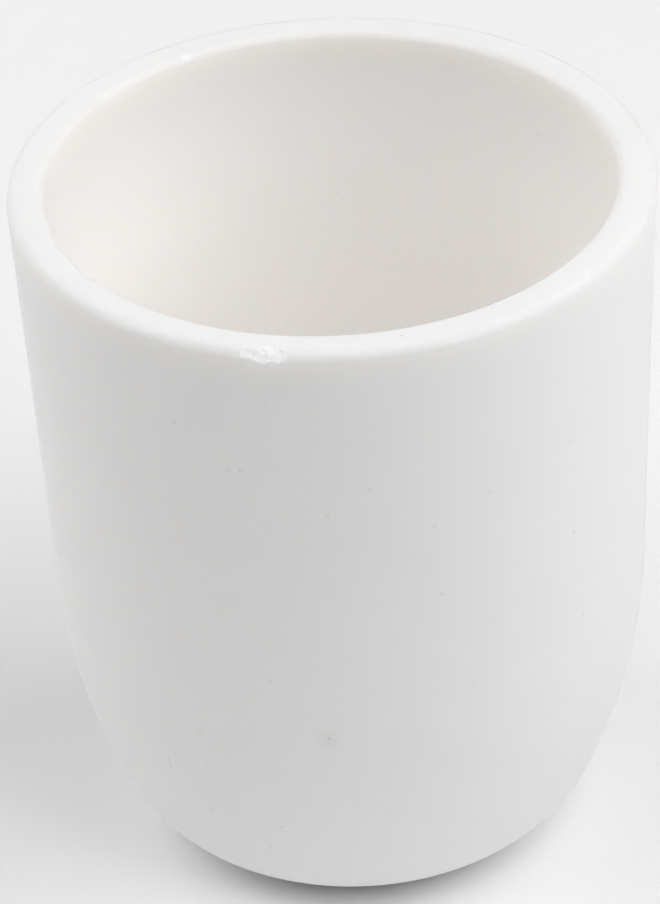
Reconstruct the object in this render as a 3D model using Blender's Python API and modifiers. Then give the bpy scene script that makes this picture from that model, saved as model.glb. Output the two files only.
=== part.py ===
# Alumina crucible of 50 ml: a tall cup with a round belly and a small flat foot, fired in one piece.
# Metres, +Z up. The origin is the centre of the foot, and the cup is turned about the Z axis.

import math

import bpy
import bmesh
from mathutils import Vector

# Outside
rim_diameter = 0.046
height = 0.053
foot_diameter = 0.0196
wall_lean = math.radians(2.85)  # how far the straight wall leans in towards the foot
belly_top = 0.0208  # height where the straight wall ends and the belly starts to take it in
heel_radius = 0.0086  # short arc between the belly and the flat foot
rim_outer_round = 0.0007

# Inside
wall_thickness = 0.0027  # square to the wall, from the rim down to the belly
floor_thickness = 0.0032
floor_corner_radius = 0.009
rim_inner_round = 0.0006

# Flake broken from the outer edge of the rim
chip_width = 0.0042
chip_depth = 0.00045  # in from the rounded edge, along the diagonal of the section
chip_scoop_radius = 0.0022
chip_direction = math.radians(-103.5)

# How finely the curves are cut into flats
turn_steps = 72
round_steps = 4
straight_steps = 3
belly_steps = 9
heel_steps = 7
scoop_segments = 24
merge_distance = 0.00001
heel_share_of_room = 0.95  # the heel takes at most this much of the space between foot and wall

alumina_color = (0.86, 0.85, 0.83, 1.0)
alumina_roughness = 0.7


def clear_scene():
    for old in list(bpy.data.objects):
        bpy.data.objects.remove(old, do_unlink=True)


def new_collection(name):
    collection = bpy.data.collections.new(name)
    bpy.context.scene.collection.children.link(collection)
    return collection


def alumina_material():
    material = bpy.data.materials.new("alumina")
    material.use_nodes = True
    material.diffuse_color = alumina_color
    shader = material.node_tree.nodes["Principled BSDF"]
    shader.inputs["Base Color"].default_value = alumina_color
    shader.inputs["Roughness"].default_value = alumina_roughness
    shader.inputs["Metallic"].default_value = 0.0
    return material


# A point of the section is (distance from the axis, height), and an angle is 0 pointing outwards
# and 90 degrees pointing up.

def on_circle(centre, radius, angle):
    return centre + Vector((math.cos(angle), math.sin(angle))) * radius


def arc(centre, radius, start, end, steps):
    turn = (end - start) / steps
    return [on_circle(centre, radius, start + turn * step) for step in range(steps + 1)]


def direction(start, end):
    return math.atan2(end.y - start.y, end.x - start.x)


def rim_edge():
    """Centre of the rounding on the outer edge of the rim."""
    return Vector((rim_diameter / 2 - rim_outer_round, height - rim_outer_round))


def side_point(z, inset):
    """Where the leaning wall, moved inwards by inset, is at height z."""
    top = on_circle(rim_edge(), rim_outer_round, -wall_lean)
    reach = top.x - (top.y - z) * math.tan(wall_lean) - inset / math.cos(wall_lean)
    return Vector((reach, z))


def heel_circle():
    """Centre and radius of the heel, which touches the ground plane at the edge of the foot."""
    room = side_point(0, 0).x - foot_diameter / 2
    radius = min(heel_radius, room * heel_share_of_room)
    return Vector((foot_diameter / 2, radius)), radius


def belly_circle():
    """Centre and radius of the arc that leaves the wall at belly_top and runs smoothly into the heel."""
    heel, heel_arc = heel_circle()
    outwards = on_circle(Vector((0, 0)), 1, -wall_lean)
    start = side_point(belly_top, 0)
    across = start - heel
    radius = (across.length_squared - heel_arc ** 2) / (2 * (across.dot(outwards) - heel_arc))
    return start - outwards * radius, radius


def outer_side():
    """Rim round, leaning wall, belly and heel, from the top of the rim down to the foot."""
    belly, belly_radius = belly_circle()
    heel, heel_arc = heel_circle()
    turn = direction(belly, heel)
    rounded = arc(rim_edge(), rim_outer_round, math.radians(90), -wall_lean, round_steps)
    curved = arc(belly, belly_radius, -wall_lean, turn, belly_steps)
    wall = [rounded[-1].lerp(curved[0], step / straight_steps) for step in range(1, straight_steps)]
    return rounded + wall + curved[:-1] + arc(heel, heel_arc, turn, math.radians(-90), heel_steps)


def inner_side():
    """Inside of the cup, from the floor up to the top of the rim."""
    belly, belly_radius = belly_circle()
    inner_radius = belly_radius - wall_thickness
    corner_z = floor_thickness + floor_corner_radius
    reach = math.sqrt((inner_radius - floor_corner_radius) ** 2 - (belly.y - corner_z) ** 2)
    corner = Vector((belly.x + reach, corner_z))
    rim = side_point(height - rim_inner_round, wall_thickness - rim_inner_round)
    turn = direction(belly, corner)
    cornered = arc(corner, floor_corner_radius, math.radians(-90), turn, heel_steps)
    curved = arc(belly, inner_radius, turn, -wall_lean, belly_steps)
    rounded = arc(rim, rim_inner_round, math.pi - wall_lean, math.radians(90), round_steps)
    wall = [curved[-1].lerp(rounded[0], step / straight_steps) for step in range(1, straight_steps)]
    return cornered[:-1] + curved + wall + rounded


def section():
    """Half section: out from the axis over the floor, up the inside, and down the outside to the foot."""
    middle_of_floor = Vector((0, floor_thickness))
    middle_of_foot = Vector((0, 0))
    return [middle_of_floor] + inner_side() + outer_side() + [middle_of_foot]


def turned_body(name, points, collection):
    mesh = bpy.data.meshes.new(name)
    outline = bmesh.new()
    corners = [outline.verts.new((point.x, 0, point.y)) for point in points]
    for first, second in zip(corners, corners[1:]):
        outline.edges.new((first, second))
    outline.to_mesh(mesh)
    outline.free()
    body = bpy.data.objects.new(name, mesh)
    collection.objects.link(body)
    turn = body.modifiers.new("turn about the axis", "SCREW")
    turn.steps = turn_steps
    turn.render_steps = turn_steps
    turn.use_merge_vertices = True
    turn.merge_threshold = merge_distance
    turn.use_smooth_shade = True
    return body


def chip_scoop(collection):
    """Ellipsoid that bites the flake out of the rounded outer edge of the rim."""
    edge_to_centre = chip_scoop_radius - chip_depth
    centre = on_circle(rim_edge(), rim_outer_round + edge_to_centre, math.radians(45))
    bite_half_width = math.sqrt(chip_scoop_radius ** 2 - edge_to_centre ** 2)
    mesh = bpy.data.meshes.new("chip_scoop")
    ball = bmesh.new()
    bmesh.ops.create_uvsphere(
        ball, u_segments=scoop_segments, v_segments=scoop_segments // 2, radius=chip_scoop_radius
    )
    bmesh.ops.scale(ball, vec=(1, chip_width / 2 / bite_half_width, 1), verts=ball.verts)
    ball.to_mesh(mesh)
    ball.free()
    scoop = bpy.data.objects.new("chip_scoop", mesh)
    collection.objects.link(scoop)
    scoop.location = (
        centre.x * math.cos(chip_direction), centre.x * math.sin(chip_direction), centre.y
    )
    scoop.rotation_euler = (0, 0, chip_direction)
    scoop.hide_render = True
    scoop.display_type = "WIRE"
    return scoop


def main():
    clear_scene()
    crucible = new_collection("alumina crucible")
    cutters = new_collection("cutters")
    body = turned_body("crucible_body", section(), crucible)
    body.data.materials.append(alumina_material())
    bite = body.modifiers.new("chip in the rim", "BOOLEAN")
    bite.operation = "DIFFERENCE"
    bite.solver = "EXACT"
    bite.object = chip_scoop(cutters)


main()
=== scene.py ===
import math

import bpy
import numpy as np
from mathutils import Matrix, Vector, noise


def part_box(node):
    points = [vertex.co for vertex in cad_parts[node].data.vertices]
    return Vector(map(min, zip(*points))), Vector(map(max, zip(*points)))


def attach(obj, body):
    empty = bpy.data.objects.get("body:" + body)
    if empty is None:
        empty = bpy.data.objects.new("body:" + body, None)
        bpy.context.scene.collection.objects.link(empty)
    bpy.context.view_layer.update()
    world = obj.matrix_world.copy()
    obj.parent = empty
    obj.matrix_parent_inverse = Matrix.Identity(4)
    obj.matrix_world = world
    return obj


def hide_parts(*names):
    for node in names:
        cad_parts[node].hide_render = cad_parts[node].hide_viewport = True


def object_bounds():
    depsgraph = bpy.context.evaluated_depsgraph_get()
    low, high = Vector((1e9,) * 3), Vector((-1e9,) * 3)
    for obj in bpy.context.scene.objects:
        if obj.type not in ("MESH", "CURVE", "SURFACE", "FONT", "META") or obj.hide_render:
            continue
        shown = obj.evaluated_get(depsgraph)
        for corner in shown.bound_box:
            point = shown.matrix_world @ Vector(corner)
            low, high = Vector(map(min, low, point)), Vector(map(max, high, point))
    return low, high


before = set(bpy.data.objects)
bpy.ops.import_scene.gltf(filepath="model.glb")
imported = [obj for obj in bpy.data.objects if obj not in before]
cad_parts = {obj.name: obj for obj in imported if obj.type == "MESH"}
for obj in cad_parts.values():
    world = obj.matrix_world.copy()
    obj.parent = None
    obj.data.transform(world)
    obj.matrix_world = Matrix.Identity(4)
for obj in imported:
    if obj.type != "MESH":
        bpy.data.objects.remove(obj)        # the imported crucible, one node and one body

cadLow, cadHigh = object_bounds()
bodyLow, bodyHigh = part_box("crucible_body")

# metres. The rim's radius and the height come from the frame
cup = {
    "rimRadius": (bodyHigh.x - bodyLow.x) / 2,
    "height": bodyHigh.z,
    "footRadius": 0.0098,
    "wallLean": math.radians(2.85),     # how far the wall leans in towards the foot
    "bellyTop": 0.0208,                 # where the straight wall ends
    "heelRadius": 0.0086,
    "outerRound": 0.0007,               # rounding of the rim's outer edge
    "innerRound": 0.0006,
    "wall": 0.0027,
    "floor": 0.0032,
    "floorCorner": 0.009,
}

# how many steps each stretch of the outline gets. The rim has the finest ones
steps = {
    "around": 580,
    "foot": 6,
    "heel": 16,
    "belly": 22,
    "wall": 8,
    "lip": 14,                          # the first millimetre of the outer wall, which the chips reach
    "outerRound": 20,
    "innerRound": 12,
    "land": 16,
    "floor": 6,
    "corner": 14,
}
lipShare = 0.035                        # how much of the straight wall is lip
wallEase = 1.6                          # packs the wall's steps towards the rim
spacingSamples = 7201                   # how finely the spacing round the rim is worked out

# stretches of the rim with more steps: direction and spread in degrees, times finer
fineStretches = [
    {"direction": -103.0, "spread": 6.0, "finer": 6.0},
    {"direction": -44.0, "spread": 8.0, "finer": 2.0},
    {"direction": -163.1, "spread": 2.0, "finer": 4.0},
    {"direction": 118.6, "spread": 2.0, "finer": 4.0},
]

# the fired cup isn't quite round: how far its rim is pushed in, and where it is widest
firing = {
    "ovalDepth": 0.000087,
    "ovalWidest": math.radians(-44),
    "threeSidedDepth": 0.000049,
    "threeSidedWidest": math.radians(15),
    "roundBelow": 0.013,                # height below which the cup is round again
    "waveDepth": 0.00003,               # slow unevenness of the cast wall
    "waveSize": 0.009,
    "waveStart": 0.002,                 # height where the unevenness starts
    "waveRise": 0.006,                  # and how much higher it is full
}

# flakes out of the rim: direction in degrees, width, depth and scoop radius in metres,
# and how far the bite leans up from level, in degrees
chips = [
    {"edge": "outer", "direction": -102.2, "width": 0.0034, "depth": 0.00040, "scoop": 0.0026, "lean": 48},
    {"edge": "outer", "direction": -105.6, "width": 0.0024, "depth": 0.00026, "scoop": 0.0022, "lean": 42},
    {"edge": "outer", "direction": -103.4, "width": 0.0016, "depth": 0.00040, "scoop": 0.0013, "lean": 30},
    {"edge": "outer", "direction": -100.6, "width": 0.0011, "depth": 0.00034, "scoop": 0.0010, "lean": 32},
    {"edge": "outer", "direction": -99.3, "width": 0.0007, "depth": 0.00022, "scoop": 0.0007, "lean": 55},
    {"edge": "outer", "direction": -107.9, "width": 0.0010, "depth": 0.00016, "scoop": 0.0012, "lean": 30},
    {"edge": "outer", "direction": -163.1, "width": 0.0008, "depth": 0.00016, "scoop": 0.0008, "lean": 25},
    {"edge": "outer", "direction": -47.5, "width": 0.0013, "depth": 0.00010, "scoop": 0.0016, "lean": 62},
    {"edge": "outer", "direction": -40.2, "width": 0.0010, "depth": 0.00008, "scoop": 0.0014, "lean": 66},
    {"edge": "inner", "direction": 118.6, "width": 0.0008, "depth": 0.00014, "scoop": 0.0008, "lean": 125},
]
flake = {
    "softness": 0.00003,                # rounding where a flake meets the old surface
    "rippleSize": 0.0004,
    "ripple": 0.05,                     # share of the scoop radius
    "fineRipple": 0.4,                  # share of the ripple that is finer
    "fineTimes": 2.7,                   # and how many times finer
    "apart": 7.3,                       # gives each flake its own ripples
    "touch": 4,                         # how far round the scoop the rounding reaches, in softnesses
    "freshDepth": 0.00006,              # a loss this deep shows the fresh body
}

# nibbling along the rim's edges, deeper where it is worn
nibble = {
    "depth": 0.000022,
    "size": 0.0011,
    "band": 0.0009,                     # how far below the rim's top it reaches
    "offLand": 1.25,                    # the smaller, the less it touches the flat of the rim
    "fineBite": 0.5,                    # share of the nibbling that is finer
    "fineTimes": 2.3,                   # and how many times finer
    "fineShift": Vector((9, 4, 2)),
    "bite": 1.6,                        # times the depth, as the noise seldom comes near 1
    "least": 0.01,                      # share of an edge below which a point stays as it is
}
worn = [
    {"direction": -44.0, "spread": 9.0, "depth": 0.00006},
    {"direction": -103.0, "spread": 7.0, "depth": 0.00005},
]


def onCircle(centre, radius, angle):
    return np.array([centre[0] + radius * math.cos(angle), centre[1] + radius * math.sin(angle)])


def arcPoints(centre, radius, start, end, count):
    return [onCircle(centre, radius, start + (end - start) * k / count) for k in range(count + 1)]


def linePoints(start, end, count, ease=1.0):
    return [start + (end - start) * (k / count) ** ease for k in range(count + 1)]


def slope(a, b):
    return math.atan2(b[1] - a[1], b[0] - a[0])


def outerEdge():
    return np.array([cup["rimRadius"] - cup["outerRound"], cup["height"] - cup["outerRound"]])


def sidePoint(z, inset):
    # the leaning wall, moved inwards by inset, at height z
    lean = cup["wallLean"]
    top = onCircle(outerEdge(), cup["outerRound"], -lean)
    return np.array([top[0] - (top[1] - z) * math.tan(lean) - inset / math.cos(lean), z])


def innerEdge():
    return sidePoint(cup["height"] - cup["innerRound"], cup["wall"] - cup["innerRound"])


def heelCentre():
    return np.array([cup["footRadius"], cup["heelRadius"]])


def bellyCircle():
    # leaves the wall at bellyTop and runs smoothly into the heel
    outwards = onCircle((0, 0), 1, -cup["wallLean"])
    start = sidePoint(cup["bellyTop"], 0)
    across = start - heelCentre()
    radius = (across @ across - cup["heelRadius"] ** 2) / (2 * (across @ outwards - cup["heelRadius"]))
    return start - outwards * radius, radius


def outerOutline():
    # from the top of the rim down the outside to the foot's centre
    belly, bellyRadius = bellyCircle()
    heel = heelCentre()
    turn = slope(belly, heel)
    rounded = arcPoints(outerEdge(), cup["outerRound"], math.pi / 2, -cup["wallLean"], steps["outerRound"])
    curved = arcPoints(belly, bellyRadius, -cup["wallLean"], turn, steps["belly"])
    lipEnd = rounded[-1] + (curved[0] - rounded[-1]) * lipShare
    lip = linePoints(rounded[-1], lipEnd, steps["lip"])
    wall = linePoints(lipEnd, curved[0], steps["wall"], wallEase)
    heelArc = arcPoints(heel, cup["heelRadius"], turn, -math.pi / 2, steps["heel"])
    foot = linePoints(heelArc[-1], np.zeros(2), steps["foot"])
    return rounded[:-1] + lip[:-1] + wall[:-1] + curved[:-1] + heelArc[:-1] + foot


def innerOutline():
    # from the middle of the floor up the inside to the top of the rim
    belly, bellyRadius = bellyCircle()
    radius = bellyRadius - cup["wall"]
    cornerZ = cup["floor"] + cup["floorCorner"]
    reach = math.sqrt((radius - cup["floorCorner"]) ** 2 - (belly[1] - cornerZ) ** 2)
    corner = np.array([belly[0] + reach, cornerZ])
    turn = slope(belly, corner)
    cornerArc = arcPoints(corner, cup["floorCorner"], -math.pi / 2, turn, steps["corner"])
    floor = linePoints(np.array([0.0, cup["floor"]]), cornerArc[0], steps["floor"])
    curved = arcPoints(belly, radius, turn, -cup["wallLean"], steps["belly"])
    roundStart = math.pi - cup["wallLean"]
    rounded = arcPoints(innerEdge(), cup["innerRound"], roundStart, math.pi / 2, steps["innerRound"])
    wall = linePoints(rounded[0], curved[-1], steps["wall"], wallEase)[::-1]
    return floor[:-1] + cornerArc[:-1] + curved[:-1] + wall[:-1] + rounded


def cupOutline():
    # the outline, and for each of its points how much it belongs to the inside
    inner, outer = innerOutline(), outerOutline()
    land = linePoints(inner[-1], outer[0], steps["land"])[1:-1]
    outline = np.array(inner + land + outer)
    insideShare = np.clip((len(inner) - 1 - np.arange(len(outline))) / steps["innerRound"], 0, 1)
    return outline, insideShare


def degreesAway(angles, direction):
    return (np.degrees(angles) - direction + 180) % 360 - 180


def turnAngles():
    # one angle for each step round, closer together along the fine stretches
    fine = np.linspace(-math.pi, math.pi, spacingSamples)
    density = np.ones_like(fine)
    for stretch in fineStretches:
        away = degreesAway(fine, stretch["direction"])
        density += stretch["finer"] * np.exp(-((away / stretch["spread"]) ** 2))
    total = np.concatenate([[0], np.cumsum((density[1:] + density[:-1]) / 2)])
    return np.interp(np.arange(steps["around"]) / steps["around"] * total[-1], total, fine)


def radiusLoss(angles, heights):
    fade = np.clip((heights - firing["roundBelow"]) / (cup["height"] - firing["roundBelow"]), 0, 1)
    oval = firing["ovalDepth"] * (1 - np.cos(2 * (angles - firing["ovalWidest"])))
    threeSided = firing["threeSidedDepth"] * (1 - np.cos(3 * (angles - firing["threeSidedWidest"])))
    return fade * (oval + threeSided)


def wavyWall(points, normals, heights):
    # slow hollows in the wall, none on the foot
    for k in np.nonzero(heights > firing["waveStart"])[0]:
        hollow = 0.5 + 0.5 * noise.noise(Vector(points[k]) / firing["waveSize"])
        rise = min(1.0, (heights[k] - firing["waveStart"]) / firing["waveRise"])
        points[k] -= normals[k] * firing["waveDepth"] * hollow * rise


def nibbleRim(points, normals, edgeShare):
    angles = np.arctan2(points[:, 1], points[:, 0])
    depth = np.full(len(points), nibble["depth"])
    for stretch in worn:
        away = degreesAway(angles, stretch["direction"])
        depth += stretch["depth"] * np.exp(-((away / stretch["spread"]) ** 2))
    for k in np.nonzero(edgeShare > nibble["least"])[0]:
        where = Vector(points[k]) / nibble["size"]
        finer = noise.noise(where * nibble["fineTimes"] + nibble["fineShift"])
        bite = max(0.0, noise.noise(where) + nibble["fineBite"] * finer)
        points[k] -= normals[k] * depth[k] * bite * edgeShare[k] * nibble["bite"]


def carveChip(points, chip, number):
    # pushes what lies inside the scoop out to its rippled surface
    if chip["edge"] == "outer":
        edge, rounding = outerEdge(), cup["outerRound"]
    else:
        edge, rounding = innerEdge(), cup["innerRound"]
    turn = math.radians(chip["direction"])
    centre = onCircle(edge, rounding + chip["scoop"] - chip["depth"], math.radians(chip["lean"]))
    halfWidth = math.sqrt(chip["scoop"] ** 2 - (chip["scoop"] - chip["depth"]) ** 2)
    stretch = chip["width"] / 2 / halfWidth
    out = np.array([math.cos(turn), math.sin(turn), 0])
    along = np.array([-math.sin(turn), math.cos(turn), 0])
    up = np.array([0, 0, 1.0])
    middle = out * centre[0] + up * centre[1]
    away = points - middle
    local = np.stack([away @ out, away @ along / stretch, away @ up], 1)
    far = np.linalg.norm(local, axis=1)
    for k in np.nonzero(far < chip["scoop"] + flake["touch"] * flake["softness"])[0]:
        where = Vector(points[k]) / flake["rippleSize"] + Vector((number * flake["apart"], 0, 0))
        finer = noise.noise(where * flake["fineTimes"])
        ripple = flake["ripple"] * (noise.noise(where) + flake["fineRipple"] * finer)
        wanted = chip["scoop"] * (1 + ripple)
        reach = (far[k] + wanted + math.hypot(far[k] - wanted, flake["softness"])) / 2
        local[k] *= reach / far[k]
        points[k] = middle + out * local[k][0] + along * local[k][1] * stretch + up * local[k][2]


def outlineNormals(outline):
    tangent = np.gradient(outline, axis=0)
    normals = np.stack([-tangent[:, 1], tangent[:, 0]], 1)
    return normals / (np.linalg.norm(normals, axis=1)[:, None] + 1e-12)  # never divides by nothing


def ringFaces(rings, around):
    faces = []
    for ring in range(rings - 1):
        here, beyond = ring * around, (ring + 1) * around
        for k in range(around):
            after = (k + 1) % around
            faces.append((here + k, beyond + k, beyond + after, here + after))
    floorMiddle, footMiddle = rings * around, rings * around + 1
    last = (rings - 1) * around
    for k in range(around):
        after = (k + 1) % around
        faces.append((floorMiddle, k, after))
        faces.append((footMiddle, last + after, last + k))
    return faces


def addShare(mesh, name, values):
    attribute = mesh.attributes.new(name, "FLOAT", "POINT")
    attribute.data.foreach_set("value", np.asarray(values, dtype=np.float32))


def buildCup():
    outline, insideShare = cupOutline()
    angles = turnAngles()
    rings, around = len(outline) - 2, len(angles)
    middle = slice(1, -1)                # the outline's two ends lie on the axis
    ringAngles = np.tile(angles, rings)
    heights = np.repeat(outline[middle, 1], around)
    radii = np.repeat(outline[middle, 0], around)
    radii = radii - radiusLoss(ringAngles, heights) * radii / cup["rimRadius"]
    spokes = np.stack([np.cos(ringAngles), np.sin(ringAngles)], 1)
    points = np.column_stack([radii[:, None] * spokes, heights])
    flat = np.repeat(outlineNormals(outline)[middle], around, axis=0)
    normals = np.column_stack([flat[:, :1] * spokes, flat[:, 1]])
    edgeShare = np.exp(-(((heights - cup["height"]) / nibble["band"]) ** 2))
    edgeShare *= np.clip(nibble["offLand"] - np.abs(flat[:, 1]), 0, 1)
    wavyWall(points, normals, heights)
    nibbleRim(points, normals, edgeShare)
    whole = points.copy()
    for number, chip in enumerate(chips):
        carveChip(points, chip, number)
    lost = np.linalg.norm(points - whole, axis=1)
    points = np.vstack([points, [0, 0, outline[0, 1]], [0, 0, outline[-1, 1]]])
    mesh = bpy.data.meshes.new("crucible")
    mesh.from_pydata(points.tolist(), [], ringFaces(rings, around))
    mesh.update()
    # insideShare marks where the inside colour, a painted warm glow, goes, and keeps the patches outside
    addShare(mesh, "insideShare", np.append(np.repeat(insideShare[middle], around), [1, 0]))
    addShare(mesh, "freshBreak", np.append(np.clip(lost / flake["freshDepth"], 0, 1), [0, 0]))
    mesh.shade_smooth()
    piece = bpy.data.objects.new("crucible", mesh)
    bpy.context.scene.collection.objects.link(piece)
    return piece


print("building the cup")
crucible = buildCup()
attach(crucible, "root")
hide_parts("crucible_body")

# small dark spots left by the mould and by handling, on the outside:
# direction in degrees, height and reach in metres, how dark
spots = [
    {"around": -96.1, "height": 0.01976, "reach": 0.00024, "dark": 0.95},
    {"around": -96.4, "height": 0.01965, "reach": 0.00130, "dark": 0.22},
    {"around": -106.6, "height": 0.02460, "reach": 0.00021, "dark": 0.60},
    {"around": -122.4, "height": 0.01869, "reach": 0.00050, "dark": 0.22},
    {"around": -124.0, "height": 0.01042, "reach": 0.00020, "dark": 0.65},
    {"around": -107.9, "height": 0.01024, "reach": 0.00018, "dark": 0.65},
    {"around": -107.6, "height": 0.00975, "reach": 0.00017, "dark": 0.50},
    {"around": -93.7, "height": 0.03937, "reach": 0.00019, "dark": 0.55},
    {"around": -86.1, "height": 0.04140, "reach": 0.00017, "dark": 0.45},
    {"around": -120.8, "height": 0.04584, "reach": 0.00019, "dark": 0.50},
    {"around": -111.1, "height": 0.04275, "reach": 0.00018, "dark": 0.45},
    {"around": -41.3, "height": 0.02433, "reach": 0.00020, "dark": 0.60},
    {"around": -101.6, "height": 0.05290, "reach": 0.00018, "dark": 0.50},
]

# faint hairlines: where each starts and ends, in degrees and metres
hairlines = [
    {"from": (-86.0, 0.01257), "to": (-77.6, 0.01061), "width": 0.00013, "dark": 0.14},
    {"from": (-88.0, 0.01330), "to": (-83.5, 0.01190), "width": 0.00010, "dark": 0.14},
    {"from": (-106.3, 0.02520), "to": (-105.2, 0.02400), "width": 0.00010, "dark": 0.14},
    {"from": (-132.1, 0.01365), "to": (-132.1, 0.01445), "width": 0.00016, "dark": 0.60},
]

# scratches across the flat of the rim, in degrees and distance from the axis
rimScratches = [
    {"from": (-103.5, 0.02112), "to": (-101.2, 0.02252), "width": 0.00011, "dark": 0.20},
]

finish = {
    "outside": (0.934, 0.935, 0.935, 1),
    # painted glow: the inside is lighter and warmer than the outside, standing in for light bounced round
    # inside the cup
    "inside": (0.988, 0.970, 0.955, 1),
    "freshBody": (0.955, 0.955, 0.960, 1),
    "patch": (0.912, 0.907, 0.903, 1),  # slightly darker, warmer stretches of the fired body
    "patchShare": 1.1,
    "patchFrom": 0.45,                  # the slow noise above this is patch
    "patchSize": 0.011,
    "noiseRoughness": 0.55,
    "grainShade": (0.866, 0.866, 0.866, 1),
    "grainShare": 0.30,
    "grainSize": 0.00022,
    "grainHeight": 0.0035,              # millimetres, as are the other heights
    "peelSize": 0.0016,
    "peelHeight": 0.010,
    "pinhole": (0.720, 0.705, 0.680, 1),
    "pinholeShare": 0.50,
    "pinholeDepth": 0.025,
    "pinholeSpacing": 0.0019,
    "pinholeReach": 0.00015,
    "pinholeChance": 0.5,               # share of the cells that hold a pinhole
    "pinholeLeast": 0.4,                # the smallest pinhole, as a share of that reach
    "pinholeCore": 0.3,                 # share of a pinhole that is fully dark
    "spot": (0.560, 0.550, 0.530, 1),
    "spotShare": 0.5,
    "freshShare": 0.8,
    "freshRougher": 0.1,
    "crumbHeight": 0.03,                # roughness of the broken surface inside a chip
    "wobbleSize": 0.00025,
    "wobble": 0.00016,
    "smoothest": 0.56,                  # roughness where the peel noise is low
    "roughest": 0.74,
    "peelLow": 0.3,
    "peelHigh": 0.7,
    "heightUnit": 0.001,                # one millimetre
    "scatterShare": 0.7,
    "scatterDepth": 0.003,              # how far light travels in the body
    "scatterColor": (1.0, 0.88, 0.76),
}


def setInputs(tree, node, inputs):
    for name, value in inputs.items():
        if isinstance(value, bpy.types.NodeSocket):
            tree.links.new(value, node.inputs[name])
        else:
            node.inputs[name].default_value = value


def newNode(tree, kind, inputs=None, **settings):
    node = tree.nodes.new(kind)
    for name, value in settings.items():
        setattr(node, name, value)
    setInputs(tree, node, inputs or {})
    return node


def maths(tree, operation, first, second=0.0, clamp=False):
    node = newNode(tree, "ShaderNodeMath", {0: first, 1: second}, operation=operation, use_clamp=clamp)
    return node.outputs[0]


def vectorMaths(tree, operation, first, second):
    return newNode(tree, "ShaderNodeVectorMath", {0: first, 1: second}, operation=operation).outputs


def fadeOut(tree, value, start, end, full=1.0):
    # full up to start, 0 from end on
    node = newNode(tree, "ShaderNodeMapRange", {"Value": value, "From Min": start, "From Max": end},
                   interpolation_type="SMOOTHSTEP")
    setInputs(tree, node, {"To Min": full, "To Max": 0.0})
    return node.outputs[0]


def mixColors(tree, share, first, second):
    return newNode(tree, "ShaderNodeMix", {0: share, 6: first, 7: second}, data_type="RGBA").outputs[2]


def newGroup(name, inputs, outputs):
    tree = bpy.data.node_groups.new(name, "ShaderNodeTree")
    for socketName, kind, value in inputs:
        socket = tree.interface.new_socket(name=socketName, in_out="INPUT", socket_type=kind)
        socket.default_value = value
    for socketName in outputs:
        tree.interface.new_socket(name=socketName, in_out="OUTPUT", socket_type="NodeSocketFloat")
    return tree, tree.nodes.new("NodeGroupInput").outputs, tree.nodes.new("NodeGroupOutput").inputs


def useGroup(tree, group, inputs):
    node = tree.nodes.new("ShaderNodeGroup")
    node.node_tree = group
    setInputs(tree, node, inputs)
    return node.outputs[0]


def grainGroup():
    tree, given, result = newGroup(
        "firedGrain",
        [("Vector", "NodeSocketVector", (0, 0, 0)),
         ("Size", "NodeSocketFloat", 0.001),
         ("Detail", "NodeSocketFloat", 2.0)],
        ["Tone"],
    )
    scale = maths(tree, "DIVIDE", 1.0, given["Size"])
    tone = newNode(tree, "ShaderNodeTexNoise", {"Vector": given["Vector"], "Scale": scale,
                                                "Detail": given["Detail"],
                                                "Roughness": finish["noiseRoughness"]})
    tree.links.new(tone.outputs[0], result["Tone"])
    return tree


def pinholeGroup():
    # pinholes one to a cell, in a share of the cells
    tree, given, result = newGroup(
        "pinholes",
        [("Vector", "NodeSocketVector", (0, 0, 0)),
         ("Spacing", "NodeSocketFloat", 0.002),
         ("Reach", "NodeSocketFloat", 0.0001),
         ("Share", "NodeSocketFloat", 0.5)],
        ["Mask"],
    )
    scale = maths(tree, "DIVIDE", 1.0, given["Spacing"])
    cells = newNode(tree, "ShaderNodeTexVoronoi", {"Vector": given["Vector"], "Scale": scale})
    dice = newNode(tree, "ShaderNodeSeparateColor", {"Color": cells.outputs["Color"]}).outputs
    chosen = maths(tree, "LESS_THAN", dice[0], given["Share"])
    reach = maths(tree, "DIVIDE", given["Reach"], given["Spacing"])
    varied = maths(tree, "MULTIPLY", reach, maths(tree, "ADD", dice[1], finish["pinholeLeast"]))
    core = maths(tree, "MULTIPLY", varied, finish["pinholeCore"])
    hole = fadeOut(tree, cells.outputs["Distance"], core, varied)
    tree.links.new(maths(tree, "MULTIPLY", hole, chosen), result["Mask"])
    return tree


def spotGroup():
    # one spot round a point
    tree, given, result = newGroup(
        "spot",
        [("Vector", "NodeSocketVector", (0, 0, 0)),
         ("Centre", "NodeSocketVector", (0, 0, 0)),
         ("Reach", "NodeSocketFloat", 0.0002),
         ("Dark", "NodeSocketFloat", 1.0)],
        ["Mask"],
    )
    far = vectorMaths(tree, "DISTANCE", given["Vector"], given["Centre"])["Value"]
    tree.links.new(fadeOut(tree, far, 0.0, given["Reach"], given["Dark"]), result["Mask"])
    return tree


def hairlineGroup():
    # a thin line between two points
    tree, given, result = newGroup(
        "hairline",
        [("Vector", "NodeSocketVector", (0, 0, 0)),
         ("From", "NodeSocketVector", (0, 0, 0)),
         ("To", "NodeSocketVector", (0, 0, 0)),
         ("Width", "NodeSocketFloat", 0.0001),
         ("Dark", "NodeSocketFloat", 1.0)],
        ["Mask"],
    )
    along = vectorMaths(tree, "SUBTRACT", given["To"], given["From"])[0]
    away = vectorMaths(tree, "SUBTRACT", given["Vector"], given["From"])[0]
    dot = vectorMaths(tree, "DOT_PRODUCT", away, along)["Value"]
    squared = vectorMaths(tree, "DOT_PRODUCT", along, along)["Value"]
    share = maths(tree, "DIVIDE", dot, squared, clamp=True)
    nearest = newNode(tree, "ShaderNodeVectorMath", {0: along, "Scale": share}, operation="SCALE")
    far = vectorMaths(tree, "DISTANCE", away, nearest.outputs[0])["Value"]
    tree.links.new(fadeOut(tree, far, 0.0, given["Width"], given["Dark"]), result["Mask"])
    return tree


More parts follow.
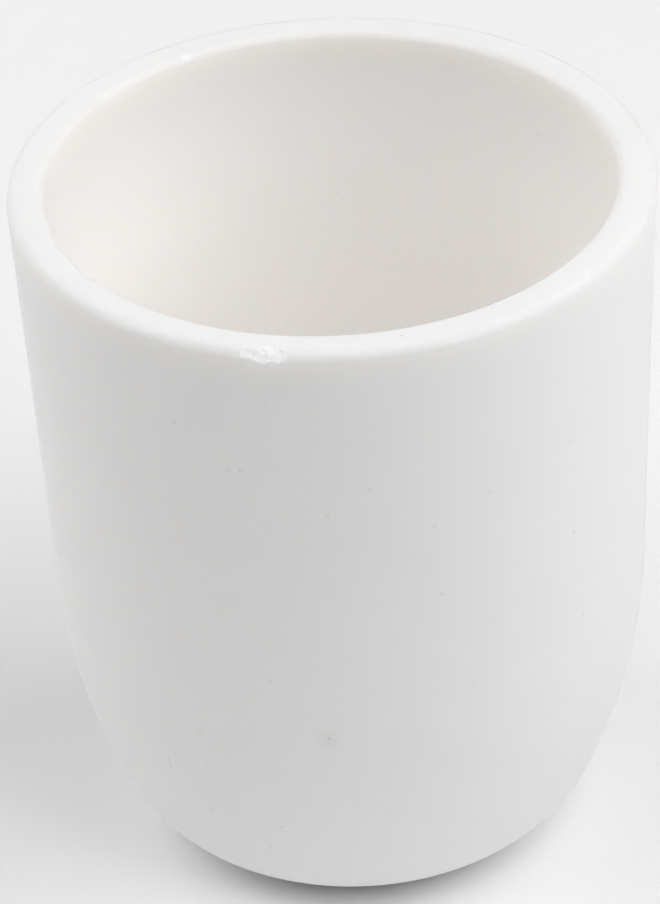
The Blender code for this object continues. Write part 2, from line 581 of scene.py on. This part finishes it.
def onOutside(degrees, height):
    # the point of the outer wall in that direction at that height
    outline = np.array(outerOutline())[::-1]
    angle = math.radians(degrees)
    radius = float(np.interp(height, outline[:, 1], outline[:, 0]))
    radius -= float(radiusLoss(angle, height)) * radius / cup["rimRadius"]
    return radius * math.cos(angle), radius * math.sin(angle), height


def onRim(degrees, radius):
    # the point of the rim's flat in that direction, that far from the axis
    angle = math.radians(degrees)
    return radius * math.cos(angle), radius * math.sin(angle), cup["height"]


def wobbled(tree, where):
    # the same place shifted a little, so that small marks have uneven edges
    scale = 1 / finish["wobbleSize"]
    shift = newNode(tree, "ShaderNodeTexNoise", {"Vector": where, "Scale": scale, "Detail": 1.0})
    centred = vectorMaths(tree, "SUBTRACT", shift.outputs["Color"], (0.5, 0.5, 0.5))[0]
    amount = {0: centred, "Scale": finish["wobble"]}
    small = newNode(tree, "ShaderNodeVectorMath", amount, operation="SCALE")
    return vectorMaths(tree, "ADD", where, small.outputs[0])[0]


def markMask(tree, where):
    # every spot, hairline and scratch
    spotTree, lineTree = spotGroup(), hairlineGroup()
    masks = []
    for spot in spots:
        centre = onOutside(spot["around"], spot["height"])
        masks.append(useGroup(tree, spotTree, {"Vector": where, "Centre": centre,
                                               "Reach": spot["reach"], "Dark": spot["dark"]}))
    ends = [(onOutside(*line["from"]), onOutside(*line["to"]), line) for line in hairlines]
    ends += [(onRim(*line["from"]), onRim(*line["to"]), line) for line in rimScratches]
    for start, end, line in ends:
        masks.append(useGroup(tree, lineTree, {"Vector": where, "From": start, "To": end,
                                               "Width": line["width"], "Dark": line["dark"]}))
    whole = masks[0]
    for mask in masks[1:]:
        whole = maths(tree, "MAXIMUM", whole, mask)
    return whole


def aluminaMaterial():
    material = bpy.data.materials.new("sinteredAlumina")
    material.use_nodes = True
    tree = material.node_tree
    shader = tree.nodes["Principled BSDF"]
    where = newNode(tree, "ShaderNodeTexCoord").outputs["Object"]
    inside = newNode(tree, "ShaderNodeAttribute", attribute_name="insideShare").outputs["Fac"]
    fresh = newNode(tree, "ShaderNodeAttribute", attribute_name="freshBreak").outputs["Fac"]

    grain, pinholes = grainGroup(), pinholeGroup()
    fine = useGroup(tree, grain, {"Vector": where, "Size": finish["grainSize"], "Detail": 1.0})
    peel = useGroup(tree, grain, {"Vector": where, "Size": finish["peelSize"], "Detail": 0.0})
    patch = useGroup(tree, grain, {"Vector": where, "Size": finish["patchSize"], "Detail": 2.0})
    pits = useGroup(tree, pinholes, {"Vector": where, "Spacing": finish["pinholeSpacing"],
                                     "Reach": finish["pinholeReach"], "Share": finish["pinholeChance"]})
    marks = markMask(tree, wobbled(tree, where))

    # the inside share takes the inside colour, a painted warm glow of light bounced round inside the cup
    color = mixColors(tree, inside, finish["outside"], finish["inside"])
    patches = maths(tree, "SUBTRACT", patch, finish["patchFrom"], clamp=True)
    patches = maths(tree, "MULTIPLY", patches, finish["patchShare"])
    outsideOnly = maths(tree, "SUBTRACT", 1.0, inside, clamp=True)
    patches = maths(tree, "MULTIPLY", patches, outsideOnly, clamp=True)
    color = mixColors(tree, patches, color, finish["patch"])
    for mask, share, shade in (
        (fine, "grainShare", "grainShade"),
        (pits, "pinholeShare", "pinhole"),
        (fresh, "freshShare", "freshBody"),
        (marks, "spotShare", "spot"),
    ):
        color = mixColors(tree, maths(tree, "MULTIPLY", mask, finish[share]), color, finish[shade])
    tree.links.new(color, shader.inputs["Base Color"])

    rough = newNode(tree, "ShaderNodeMapRange", {"Value": peel,
                                                 "From Min": finish["peelLow"],
                                                 "From Max": finish["peelHigh"],
                                                 "To Min": finish["smoothest"],
                                                 "To Max": finish["roughest"]})
    rougher = maths(tree, "MULTIPLY", fresh, finish["freshRougher"])
    tree.links.new(maths(tree, "ADD", rough.outputs[0], rougher), shader.inputs["Roughness"])

    height = maths(tree, "MULTIPLY", fine, finish["grainHeight"])
    height = maths(tree, "ADD", height, maths(tree, "MULTIPLY", peel, finish["peelHeight"]))
    height = maths(tree, "SUBTRACT", height, maths(tree, "MULTIPLY", pits, finish["pinholeDepth"]))
    broken = maths(tree, "MULTIPLY", maths(tree, "MULTIPLY", fine, fresh), finish["crumbHeight"])
    height = maths(tree, "ADD", height, broken)
    bump = newNode(tree, "ShaderNodeBump", {"Height": height, "Strength": 1.0,
                                            "Distance": finish["heightUnit"]})
    tree.links.new(bump.outputs[0], shader.inputs["Normal"])

    shader.subsurface_method = "BURLEY"  # quicker than a random walk, and a little darker
    shader.inputs["Subsurface Weight"].default_value = finish["scatterShare"]
    shader.inputs["Subsurface Scale"].default_value = finish["scatterDepth"]
    shader.inputs["Subsurface Radius"].default_value = finish["scatterColor"]
    return material


print("alumina")
crucible.data.materials.append(aluminaMaterial())

studio = {
    "floorColor": (0.97, 0.97, 0.97, 1),
    "floorRoughness": 0.9,
    "floorSize": 8.0,
    "farGlow": (0.85, 0.85, 0.85, 1),   # keeps the far floor pale to look at, without lighting the cup
    "paleFrom": 0.95,                   # metres from the cup where the glow is full
    "skyColor": (1.0, 1.0, 1.0, 1),
    "skyStrength": 0.02,                # what the sky adds to the light
    "backdrop": 0.85,                   # how pale it looks behind the floor
    "lookAt": Vector((0, 0, 0.03)),
    "bounces": 6,                       # the inside of the cup is lit by light that has bounced many times
}

# softboxes round the cup: direction and height in degrees, distance and size in metres, watts, colour
white = (1.0, 1.0, 1.0)
cool = (0.988, 0.994, 1.0)
softboxes = {
    "rightSoftbox": {"around": -18, "up": 48, "away": 0.50,
                     "size": (0.60, 0.50), "watts": 2.06, "color": cool},
    "leftSoftbox": {"around": 180, "up": 45, "away": 0.50,
                    "size": (0.50, 0.40), "watts": 1.04, "color": white},
    "backLeftStrip": {"around": 135, "up": 22, "away": 0.45,
                      "size": (0.50, 0.40), "watts": 0.55, "color": white},
    "backRightStrip": {"around": 30, "up": 22, "away": 0.45,
                       "size": (0.50, 0.40), "watts": 0.19, "color": white},
    "topFront": {"around": -90, "up": 66, "away": 0.70,
                 "size": (0.50, 0.30), "watts": 0.78, "color": white},
}


def buildFloor():
    bpy.ops.mesh.primitive_plane_add(size=studio["floorSize"], location=(0, 0, cadLow.z))
    floor = bpy.context.object
    floor.name = "floor"
    material = bpy.data.materials.new("paleFloor")
    material.use_nodes = True
    shader = material.node_tree.nodes["Principled BSDF"]
    shader.inputs["Base Color"].default_value = studio["floorColor"]
    shader.inputs["Roughness"].default_value = studio["floorRoughness"]
    shader.inputs["Specular IOR Level"].default_value = 0.0
    tree = material.node_tree
    where = newNode(tree, "ShaderNodeTexCoord").outputs["Object"]
    far = newNode(tree, "ShaderNodeVectorMath", {0: where}, operation="LENGTH").outputs["Value"]
    seen = newNode(tree, "ShaderNodeLightPath").outputs["Is Camera Ray"]
    paler = maths(tree, "MULTIPLY", fadeOut(tree, far, studio["paleFrom"], 0.0), seen)
    glow = mixColors(tree, paler, (0, 0, 0, 1), studio["farGlow"])
    tree.links.new(glow, shader.inputs["Emission Color"])
    shader.inputs["Emission Strength"].default_value = 1.0
    floor.data.materials.append(material)


def buildSky():
    world = bpy.data.worlds.new("softTent")
    bpy.context.scene.world = world
    world.use_nodes = True
    tree = world.node_tree
    background = tree.nodes["Background"]
    background.inputs["Color"].default_value = studio["skyColor"]
    seen = newNode(tree, "ShaderNodeLightPath").outputs["Is Camera Ray"]
    extra = maths(tree, "MULTIPLY", seen, studio["backdrop"] - studio["skyStrength"])
    tree.links.new(maths(tree, "ADD", extra, studio["skyStrength"]), background.inputs["Strength"])


def buildSoftbox(name, box):
    data = bpy.data.lights.new(name, "AREA")
    data.shape = "RECTANGLE"
    data.size, data.size_y = box["size"]
    data.energy = box["watts"]
    data.color = box["color"]
    light = bpy.data.objects.new(name, data)
    bpy.context.scene.collection.objects.link(light)
    around, up = math.radians(box["around"]), math.radians(box["up"])
    away = Vector((math.cos(around) * math.cos(up), math.sin(around) * math.cos(up), math.sin(up)))
    light.location = studio["lookAt"] + away * box["away"]
    light.rotation_euler = (-away).to_track_quat("-Z", "Y").to_euler()


print("studio")
buildFloor()
buildSky()
for name, box in softboxes.items():
    buildSoftbox(name, box)
bpy.context.scene.cycles.diffuse_bounces = studio["bounces"]

# the camera looks down at the cup from the front, a little rolled
shot = {
    "distance": 0.460,                   # from the middle of the mouth
    "elevation": math.radians(31.34),
    "roll": math.radians(-3.24),
    "lens": 260.65,                      # millimetres, as is the sensor
    "sensor": 36,
    "sees": 50,                          # metres
    "aim": Vector((-0.0011, 0.0, 0.02979)),
}


def buildCamera():
    data = bpy.data.cameras.new("camera")
    data.lens = shot["lens"]
    data.sensor_width = shot["sensor"]
    data.clip_end = shot["sees"]
    camera = bpy.data.objects.new("camera", data)
    bpy.context.scene.collection.objects.link(camera)
    mouth = Vector((0, 0, cup["height"]))
    back = Vector((0, -math.cos(shot["elevation"]), math.sin(shot["elevation"])))
    stand = mouth + back * shot["distance"]
    look = (shot["aim"] - stand).to_track_quat("-Z", "Y").to_matrix()
    turned = look @ Matrix.Rotation(shot["roll"], 3, "Z")
    camera.matrix_world = Matrix.Translation(stand) @ turned.to_4x4()
    bpy.context.scene.camera = camera


buildCamera()
bpy.context.scene.view_settings.view_transform = "Standard"
